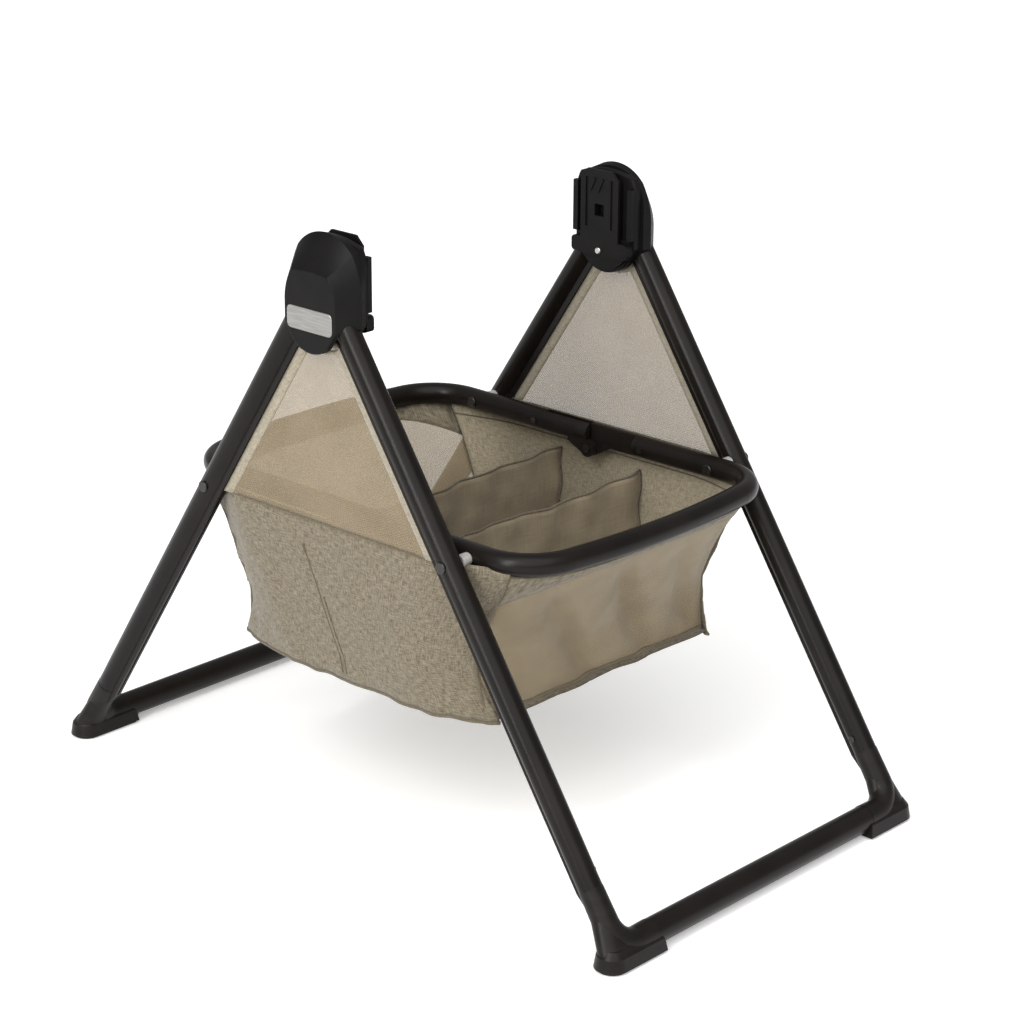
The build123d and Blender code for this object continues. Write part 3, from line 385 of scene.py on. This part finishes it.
def make_mesh(name, vertices, faces, material):
    """A smooth mesh object in metres from points in millimetres."""
    mesh = bpy.data.meshes.new(name)
    mesh.from_pydata([tuple(c * MM for c in v) for v in vertices], [], faces)
    mesh.shade_smooth()
    mesh.materials.append(material)
    piece = bpy.data.objects.new(name, mesh)
    bpy.context.scene.collection.objects.link(piece)
    return piece


def cloth_grid(name, rows, material, thickness):
    """One sheet of cloth from rows of points, with its flat cut in the UV map."""
    count = len(rows[0])
    faces = [(r * count + c, r * count + c + 1, (r + 1) * count + c + 1, (r + 1) * count + c)
             for r in range(len(rows) - 1) for c in range(count - 1)]
    piece = make_mesh(name, [p for row in rows for p in row], faces, material)
    along = steps(rows[len(rows) // 2])
    down = steps([row[count // 2] for row in rows])
    flat = piece.data.uv_layers.new(name="flat_cut")
    for loop in piece.data.loops:
        r, c = divmod(loop.vertex_index, count)
        flat.data[loop.index].uv = (along[c] * MM, down[r] * MM)
    body = piece.modifiers.new("cloth_thickness", "SOLIDIFY")
    body.thickness = thickness * MM
    body.offset = 0.0
    return piece


def hang(piece, finish, *nodes):
    """Hang a soft piece on the hubs, with a mesh of its own, and hide the frame's nodes that it replaces."""
    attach(piece, "hubs")
    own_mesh(piece)
    if nodes:
        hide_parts(*nodes)
    return piece


# %% Cord along a seam
def seam_cord(name, points, radius, material):
    """Piping: a thin round cord along a seam, closed at both ends."""
    sides = 8
    vertices, faces = [], []
    for i, point in enumerate(points):
        here = Vector(point)
        ahead = (Vector(points[min(i + 1, len(points) - 1)]) - Vector(points[max(i - 1, 0)])).normalized()
        first = ahead.cross(Vector((0.31, 0.22, 0.93))).normalized()
        second = ahead.cross(first)
        for k in range(sides):
            angle = 2 * math.pi * k / sides
            vertices.append(here + radius * (first * math.cos(angle) + second * math.sin(angle)))
    for i in range(len(points) - 1):
        for k in range(sides):
            a, b = i * sides + k, i * sides + (k + 1) % sides
            faces.append((a, b, b + sides, a + sides))
    faces.append(tuple(reversed(range(sides))))
    faces.append(tuple(range(len(vertices) - sides, len(vertices))))
    piece = make_mesh(name, vertices, faces, material)
    flat = piece.data.uv_layers.new(name="flat_cut")
    run = steps(points)
    for loop in piece.data.loops:
        i, k = divmod(loop.vertex_index, sides)
        flat.data[loop.index].uv = (run[i] * MM, k * radius * MM)
    return piece


# %% [markdown]
# ## The shape of the basket
# The basket was drawn at three heights: under the rim, at a waist where the corners pull in, and at the
# bottom. A smooth curve through the three gives every height between. Half of it is straight, because
# the cloth is stretched between the rim and the stiff floor, and half is a parabola, because it gives a
# little.

# %% Heights and outlines
# Heights, then half widths (x) and half lengths (y) at the rim, the waist and the bottom.
rim_line, waist_line, bottom_line = 362.8, 244.8, 183.5
corner_x = (197.0, 188.0, 180.0)
corner_y = (234.6, 176.6, 188.6)
side_x = (235.6, 217.0, 204.0)
side_y = (148.0, 138.0, 148.0)
end_y = (273.5, 202.6, 189.6)
liner_x = (211.8, 209.0, 197.5)
liner_y = (163.0, 133.0, 137.0)
seam_line = 373.0


def at_height(values, z):
    """A size of the basket at a height, from its sizes at the rim, the waist and the bottom."""
    z = min(max(z, bottom_line), rim_line)
    top, mid, low = values
    if z > waist_line:
        straight = mid + (top - mid) * (z - waist_line) / (rim_line - waist_line)
    else:
        straight = low + (mid - low) * (z - bottom_line) / (waist_line - bottom_line)
    a = (z - waist_line) * (z - bottom_line) / ((rim_line - waist_line) * (rim_line - bottom_line))
    b = (z - rim_line) * (z - bottom_line) / ((waist_line - rim_line) * (waist_line - bottom_line))
    c = (z - rim_line) * (z - waist_line) / ((bottom_line - rim_line) * (bottom_line - waist_line))
    return 0.5 * straight + 0.5 * (a * top + b * mid + c * low)


def even(points, count):
    """The same line with evenly spaced points."""
    run = steps(points)
    line, k = [], 0
    for i in range(count + 1):
        goal = run[-1] * i / count
        while k < len(run) - 2 and run[k + 1] < goal:
            k += 1
        share = (goal - run[k]) / max(run[k + 1] - run[k], 1e-9)
        line.append(Vector(points[k]).lerp(Vector(points[k + 1]), share))
    return line


def wall_line(z, wall_x, wall_y, inset, soften, count):
    """Outline of a right-hand wall at a height: corner, straight run, corner, with softened bends."""
    corner = Vector((at_height(corner_x, z) - inset, at_height(corner_y, z) - inset, z))
    bend = Vector((at_height(wall_x, z), at_height(wall_y, z), z))
    into = bend + (corner - bend).normalized() * soften
    out = bend + Vector((0, -1, 0)) * soften
    half = [corner, corner.lerp(into, 0.5), into]
    half += [into.lerp(bend, t).lerp(bend.lerp(out, t), t) for t in (0.2, 0.4, 0.6, 0.8)]
    half += [out, Vector((bend.x, 0, z))]
    other = [Vector((p.x, -p.y, p.z)) for p in reversed(half[:-1])]
    return even(half + other, count)


print("basket from", bottom_line, "to", seam_line, "mm, waist", 2 * at_height(side_x, waist_line), "mm wide")


# %% [markdown]
# Cloth is never quite flat. Smooth random waves push each point along the sheet's own normal, and
# sharper folds gather where a corner is pulled. The waves come from a fixed noise field, so every run
# sews the same basket. In the fold functions, heights and wave lengths are in millimetres, and the last
# number of each ripple only picks its place in the noise.

# %% Wrinkles
def wrinkle(rows, amount):
    """Push each point of a grid along its normal by amount(point, row share, column share) millimetres."""
    down, wide = len(rows) - 1, len(rows[0]) - 1
    pushed = []
    for r, row in enumerate(rows):
        line = []
        for c, point in enumerate(row):
            along = Vector(row[min(c + 1, wide)]) - Vector(row[max(c - 1, 0)])
            drop = Vector(rows[min(r + 1, down)][c]) - Vector(rows[max(r - 1, 0)][c])
            normal = along.cross(drop).normalized()
            line.append(Vector(point) + normal * amount(Vector(point), r / down, c / wide))
        pushed.append(line)
    return pushed


def ripple(point, size, seed):
    """Smooth noise from -1 to 1 with waves about this many millimetres long."""
    return noise.noise(point / size + Vector((seed, 2 * seed, 3 * seed)))


def mirrored(rows):
    """The same grid on the left side."""
    return [[Vector((-p.x, p.y, p.z)) for p in row] for row in rows]


def turned(rows):
    """The same grid at the other end."""
    return [[Vector((p.x, -p.y, p.z)) for p in row] for row in rows]


# %% [markdown]
# ## Linen side walls
# Each long side is one piece of linen from a seam just above the rim to the stiff bottom, wrapped round
# to the corner seams. It is taut along the seam, pulled into small folds near the corners, and slack
# near its bottom.

# %% Side walls
side_columns, side_rows = 96, 30
rim_bend, bottom_bend = 14, 60


def side_fold(point, row, column):
    """Outward wrinkles of a side wall: none at the seam, slack lower down, gathered beside the corners."""
    slack = min(1.0, row / 0.15)
    corner = min(column, 1 - column)
    beside = math.exp(-corner / 0.06) * (1 - math.exp(-corner / 0.015))
    gather = beside * math.sin((point.z + 1.4 * abs(point.y)) / 7.0 + 2.0 * ripple(point, 30, 2.9))
    hem = max(0.0, (row - 0.75) / 0.25)
    push = 0.6 + 2.6 * ripple(point, 46, 3.1) + 1.2 * ripple(point, 17, 7.7) + 5.0 * gather
    return slack * max(-0.6, push + 4.0 * hem * ripple(point, 26, 11.3))


def side_wall_rows():
    """Rows of the right-hand wall from the seam to the bottom."""
    rows = []
    for r in range(side_rows + 1):
        z = seam_line + (bottom_line - seam_line) * r / side_rows
        soften = rim_bend + (bottom_bend - rim_bend) * r / side_rows
        rows.append(wall_line(z, side_x, side_y, 0.0, soften, side_columns))
    return rows


right_rows = wrinkle(side_wall_rows(), side_fold)
left_rows = wrinkle(mirrored(side_wall_rows()), lambda point, row, column: -side_fold(point, row, column))
side_walls = {}
for hand, rows in (("right", right_rows), ("left", left_rows)):
    side_walls[hand] = cloth_grid(f"linen_side_{hand}", rows, linen, thickness=1.4)
    hang(side_walls[hand], "linen", f"basket_side_{hand}")
print("side walls:", [wall.name for wall in side_walls.values()])

# %% [markdown]
# The inner face of each side is a second layer, the liner, that hangs from the outer side of the rim and
# meets the outer wall at the corners and at the bottom. It is what shows through the mouth of the
# basket.

# %% Liners
def liner_fold(point, row, column):
    """Wrinkles of a liner: small at the rim, so that it stays clear of the hinge."""
    slack = min(1.0, max(0.0, row - 0.12) / 0.2)
    return slack * (1.3 * ripple(point, 40, 5.3) + 0.6 * ripple(point, 15, 1.9))


liner_top, liner_foot = 367.0, bottom_line + 5
liner_columns, liner_steps = 80, 24
liner_inset, liner_bend = 4.5, 30
liner_rows = []
for r in range(liner_steps + 1):
    z = liner_top + (liner_foot - liner_top) * r / liner_steps
    liner_rows.append(wall_line(z, liner_x, liner_y, liner_inset, liner_bend, liner_columns))
right_liner, left_liner = wrinkle(liner_rows, liner_fold), wrinkle(mirrored(liner_rows), liner_fold)
liners = {}
for hand, rows in (("right", right_liner), ("left", left_liner)):
    liners[hand] = cloth_grid(f"linen_liner_{hand}", rows, liner_linen_painted_paler, thickness=1.2)
    hang(liners[hand], "linen", f"basket_liner_{hand}")
    inwards = -1 if hand == "right" else 1
    under_rim = [p + Vector((inwards, 0, 0)) for p in rows[2]]
    rim_seam = hang(seam_cord(f"rim_seam_{hand}", under_rim, radius=0.9, material=tape), "linen")

# %% [markdown]
# ## Net ends
# Each end of the basket is a net that hangs under the bow of the rim. Its outline is square at the top,
# where it follows the bent tube, and rounder at the bottom. A linen hem runs along the top and grows
# deeper towards the corners, where the cloth is pulled hardest.

# %% End walls
end_columns, end_rows = 64, 26
corner_gap = 0.6
rim_squareness, squareness_lost = 4.2, 1.6


def end_point(across, drop, lift=0.0):
    """A point of the front end wall: across from -1 to 1, drop from 0 at the rim to 1 at the bottom."""
    z = rim_line + (bottom_line - rim_line) * drop
    half = at_height(corner_x, z) - corner_gap
    near, far = at_height(corner_y, z), at_height(end_y, z)
    square = rim_squareness - squareness_lost * drop
    y = near + (far - near) * (1 - abs(across) ** square)
    return Vector((half * across, -y - lift, z))


# The three main folds: where each starts along the rim, as a share of it, and its depth.
end_folds = ((0.08, 14.0), (0.35, 16.0), (0.6, 9.0))
fold_slant, fold_width = 0.38, 0.05


def end_fold(point, row, column):
    """Wrinkles of an end wall: broad folds that slant down from the rim, and small waves between them."""
    slack = min(1.0, max(0.0, row - 0.05) / 0.3)
    edge = min(1.0, min(column, 1 - column) / 0.08)
    hem = max(0.0, (row - 0.8) / 0.2)
    folds = 0.0
    for start, depth in end_folds:
        folds += depth * math.exp(-((column - start - fold_slant * row) / fold_width) ** 2)
    waves = 3.0 * ripple(point, 55, 4.4) + 1.2 * ripple(point, 22, 8.2)
    return slack * edge * ((1 - 0.8 * hem) * folds + waves + 1.4 * hem * math.sin(point.x / 15.0))


end_grid = wrinkle([[end_point(-1 + 2 * c / end_columns, r / end_rows) for c in range(end_columns + 1)]
                    for r in range(end_rows + 1)], end_fold)
end_walls = {}
for end, rows in (("front", end_grid), ("rear", turned(end_grid))):
    end_walls[end] = cloth_grid(f"net_end_{end}", rows, end_net, thickness=0.8)
    hang(end_walls[end], "mesh", f"basket_end_{end}")
print("end walls:", [wall.name for wall in end_walls.values()])

# %% Hem of the ends
def hem_row(share):
    """One row of the hem: just under the tube in the middle and deeper towards the corners."""
    row = []
    for c in range(end_columns + 1):
        across = -1 + 2 * c / end_columns
        depth = hem_depth + corner_depth * abs(across) ** 4
        row.append(end_point(across, share * depth / (rim_line - bottom_line), hem_lift))
    return row


hem_depth, corner_depth, hem_lift, hem_steps = 7.0, 30.0, 0.4, 4
hem_grid = [hem_row(r / hem_steps) for r in range(hem_steps + 1)]
trims = {"front": [], "rear": []}
for end, rows in (("front", hem_grid), ("rear", turned(hem_grid))):
    hem = cloth_grid(f"linen_hem_{end}", rows, linen, thickness=2.0)
    hang(hem, "linen")
    trims[end].append(hem)
print("hems:", [t[0].name for t in trims.values()])

# %% [markdown]
# ## Piping
# The seams are piped: a cord wrapped in tape is sewn into the corner seams and round the bottom, and a
# thinner one closes the seam under the net panels.

# %% Corner, bottom and top piping
def lower(points, drop):
    """The same line a little lower."""
    return [Vector((p.x, p.y, p.z - drop)) for p in points]


def dart_line(rows, start, end, shift):
    """A sewn dart that slants down a side wall, proud of the cloth, between two shares of its length."""
    line = []
    for i in range(dart_steps + 1):
        share = start + (end - start) * i / dart_steps
        y, z = dart_head[0] - dart_run * share + shift, dart_head[1] - dart_drop * share
        row = min(rows, key=lambda points: abs(points[len(points) // 2].z - z))
        point = min(row, key=lambda p: abs(p.y - y))
        line.append(Vector((point.x * dart_proud, y, z)))
    return line


# The dart starts at this place (y, z) and runs towards the front while it drops.
dart_head, dart_run, dart_drop = (38.0, 342.0), 33.5, 149.0
dart_steps, dart_proud = 24, 1.004
panel_reach = 166
cord_radius = {
    "corner_piping_rear": 2.2, "corner_piping_front": 2.2, "bottom_piping": 2.2, "seam_piping": 1.3,
    "dart_seam": 1.1, "dart_fold_shade_cord": 0.9, "dart_bar_tack": 1.9,
}
side_piping = {"right": [], "left": []}
for hand, rows in (("right", right_rows), ("left", left_rows)):
    lines = {
        "corner_piping_rear": [row[0] for row in rows[3:]],
        "corner_piping_front": [row[-1] for row in rows[3:]],
        "bottom_piping": lower(rows[-1], 1.0),
        "seam_piping": [p for p in rows[0] if abs(p.y) < panel_reach],
        "dart_seam": dart_line(rows, 0.0, 1.0, 0.0),
        # A thin dark thread cord beside the lower part of the dart seam is painted shade of the dart's fold.
        "dart_fold_shade_cord": dart_line(rows, 0.4, 1.0, -6.0),
        "dart_bar_tack": dart_line(rows, 0.0, 0.06, 0.0),
    }
    for name, line in lines.items():
        piping = seam_cord(f"{name}_{hand}", line, cord_radius[name], thread if "dart" in name else tape)
        hang(piping, "linen")
        side_piping[hand].append(piping)
for end, rows in (("front", end_grid), ("rear", turned(end_grid))):
    edge = hem_grid[-1] if end == "front" else turned(hem_grid)[-1]
    bottom = lower(rows[-1], 1.0)
    for name, line, radius in (("bottom_piping", bottom, 2.4), ("bottom_hem_seam", rows[-2], 1.1),
                               ("hem_seam", edge, 0.9)):
        piping = seam_cord(f"{name}_{end}", line, radius, tape)
        hang(piping, "linen")
        trims[end].append(piping)
print("piping on the sides:", [p.name for p in side_piping["right"]])

# %% [markdown]
# ## Floor and dividers
# A stiff board covered in linen keeps the bottom open. Its outline is blended from the bottom edges of
# the four walls, so it fills the basket wherever the cloth swells. Two cloth dividers cross the basket.
# They are sewn to the liners at their ends and sag a little between them, which sets soft upright folds
# in the cloth.

# %% Basket floor
board_columns, board_rows = 32, 28
board_height, board_fit = 185.2, 0.992
front_edge, rear_edge = even(end_grid[-1], board_columns), even(turned(end_grid)[-1], board_columns)
left_edge, right_edge = even(left_rows[-1][::-1], board_rows), even(right_rows[-1][::-1], board_rows)
floor_rows = []
for r in range(board_rows + 1):
    to_rear = r / board_rows
    line = []
    for c in range(board_columns + 1):
        to_right = c / board_columns
        by_ends = front_edge[c].lerp(rear_edge[c], to_rear)
        by_sides = left_edge[r].lerp(right_edge[r], to_right)
        front = front_edge[0].lerp(front_edge[-1], to_right)
        rear = rear_edge[0].lerp(rear_edge[-1], to_right)
        point = (by_ends + by_sides - front.lerp(rear, to_rear)) * board_fit
        line.append(Vector((point.x, point.y, board_height)))
    floor_rows.append(line)
floor_rows = wrinkle(floor_rows, lambda p, r, c: 0.6 * ripple(p, 60, 2.6))
basket_floor = cloth_grid("linen_covered_floor_board", floor_rows, linen, thickness=3.4)
hang(basket_floor, "linen", "basket_floor")
print("floor board", round(2 * right_edge[board_rows // 2].x), "mm wide in the middle")

# %% Dividers
divider_line, divider_top, divider_foot = 64.0, 341.0, 188.6
divider_sag, liner_gap = 4.0, 2.6
divider_columns, divider_rows = 60, 20


def divider_fold(point, row, column):
    """Upright folds that are deepest near the ends of the top edge, and gathers along the end seams."""
    end = math.exp(-min(column, 1 - column) / 0.14)
    top = 1 - row
    drape = 15.0 * ripple(Vector((point.x, 0, 0.25 * point.z)), 50, 6.1) + 4.0 * ripple(point, 21, 2.2)
    gather = 2.4 * top * math.sin(point.x / 8.0) + 1.6 * math.sin(point.z / 9.0)
    return (0.3 + 0.7 * top) * (1 - 0.8 * end) * drape + end * gather


divider_grid = []
for r in range(divider_rows + 1):
    row = []
    for c in range(divider_columns + 1):
        across = -1 + 2 * c / divider_columns
        top = divider_top - divider_sag * (1 - across * across)
        z = top + (divider_foot - top) * r / divider_rows
        row.append(Vector((across * (at_height(liner_x, z) - liner_gap), -divider_line, z)))
    divider_grid.append(row)
divider_grid = wrinkle(divider_grid, divider_fold)
dividers = {}
for end, rows in (("front", divider_grid), ("rear", turned(divider_grid))):
    dividers[end] = cloth_grid(f"taffeta_divider_{end}", rows, lining, thickness=1.6)
    hang(dividers[end], "linen", f"divider_{end}")
    for name, line in (("top_binding", rows[0]), ("end_seam_left", [row[0] for row in rows]),
                       ("end_seam_right", [row[-1] for row in rows])):
        edge = seam_cord(f"divider_{name}_{end}", line, radius=1.5, material=tape)
        hang(edge, "linen")

# %% [markdown]
# ## Net panels between the legs
# A triangle of net fills each side above the seam. Its slanting edges carry a woven tape and slip into
# the rails on the legs, and its top is cut round the hub.

# %% Net panels
leg_plane = 235.0
pivot_y, pivot_z = 21.25, 622.0
ankle_y, ankle_z = 421.7, 18.8
rail_gap = 20.4
hub_middle, hub_cut, top_share = 612.0, 36.0, 0.68
tan_lean = (ankle_y - pivot_y) / (pivot_z - ankle_z)


def rail_edge(z):
    """How far from the middle the net reaches at a height, inside the rail."""
    return pivot_y + (pivot_z - z) * tan_lean - rail_gap


def panel_rows(x, inner, outer, columns, rows):
    """A band of the triangle between two shares of its width, from the hub down to the seam."""
    top_half, base_half = hub_cut * top_share, rail_edge(seam_line)
    grid = []
    for r in range(rows + 1):
        t = r / rows
        line = []
        for c in range(columns + 1):
            share = inner + (outer - inner) * c / columns
            high_y = share * top_half
            high = Vector((x, high_y, hub_middle - math.sqrt(hub_cut ** 2 - high_y ** 2)))
            line.append(high.lerp(Vector((x, share * base_half, seam_line)), t))
        grid.append(line)
    return grid


def slight_slack(point, row, column):
    """A net panel is stretched, so it gives by half a millimetre at most, and not at its ends."""
    return 0.5 * min(1.0, 8 * row * (1 - row)) * ripple(point, 70, 9.4)


def rail_band(x, sign):
    """Rows of the tape that runs down one rail."""
    band = []
    for r in range(tape_steps + 1):
        z = tape_top + (seam_line - tape_top) * r / tape_steps
        outer = rail_edge(z) - tape_inset
        band.append([Vector((x, sign * (outer - tape_width * c / tape_columns), z))
                     for c in range(tape_columns + 1)])
    return band


def hub_crumple(x):
    """The loose hem under a hub: an arc that wanders a little."""
    line = []
    for i in range(hub_hem_steps + 1):
        angle = math.radians(hub_hem_spread * (i / hub_hem_steps - 0.5))
        reach = hub_cut + hub_hem_drop + 2.5 * ripple(Vector((x, 90 * angle, 0)), 7, 4.7)
        aside = 1.5 * ripple(Vector((0, 90 * angle, x)), 6, 8.8)
        line.append(Vector((x + aside, reach * math.sin(angle), hub_middle - reach * math.cos(angle))))
    return line


tape_top, tape_width, tape_inset = 580.0, 15.0, 1.0
tape_steps, tape_columns = 36, 3
hub_hem_drop, hub_hem_spread, hub_hem_steps = 10.0, 80, 40
net_panels = {}
for hand, x in (("right", leg_plane), ("left", -leg_plane)):
    rows = wrinkle(panel_rows(x, -1.0, 1.0, 40, 36), slight_slack)
    net_panels[hand] = cloth_grid(f"net_panel_{hand}", rows, panel_net, thickness=0.7)
    hang(net_panels[hand], "mesh", f"mesh_panel_{hand}")
    for end, sign in (("front", -1), ("rear", 1)):
        band = cloth_grid(f"rail_tape_{end}_{hand}", rail_band(x, sign), rail_cloth, thickness=1.8)
        hang(band, "linen")
    hub_hem = hang(seam_cord(f"hub_hem_{hand}", hub_crumple(x), radius=2.4, material=rail_cloth), "linen")
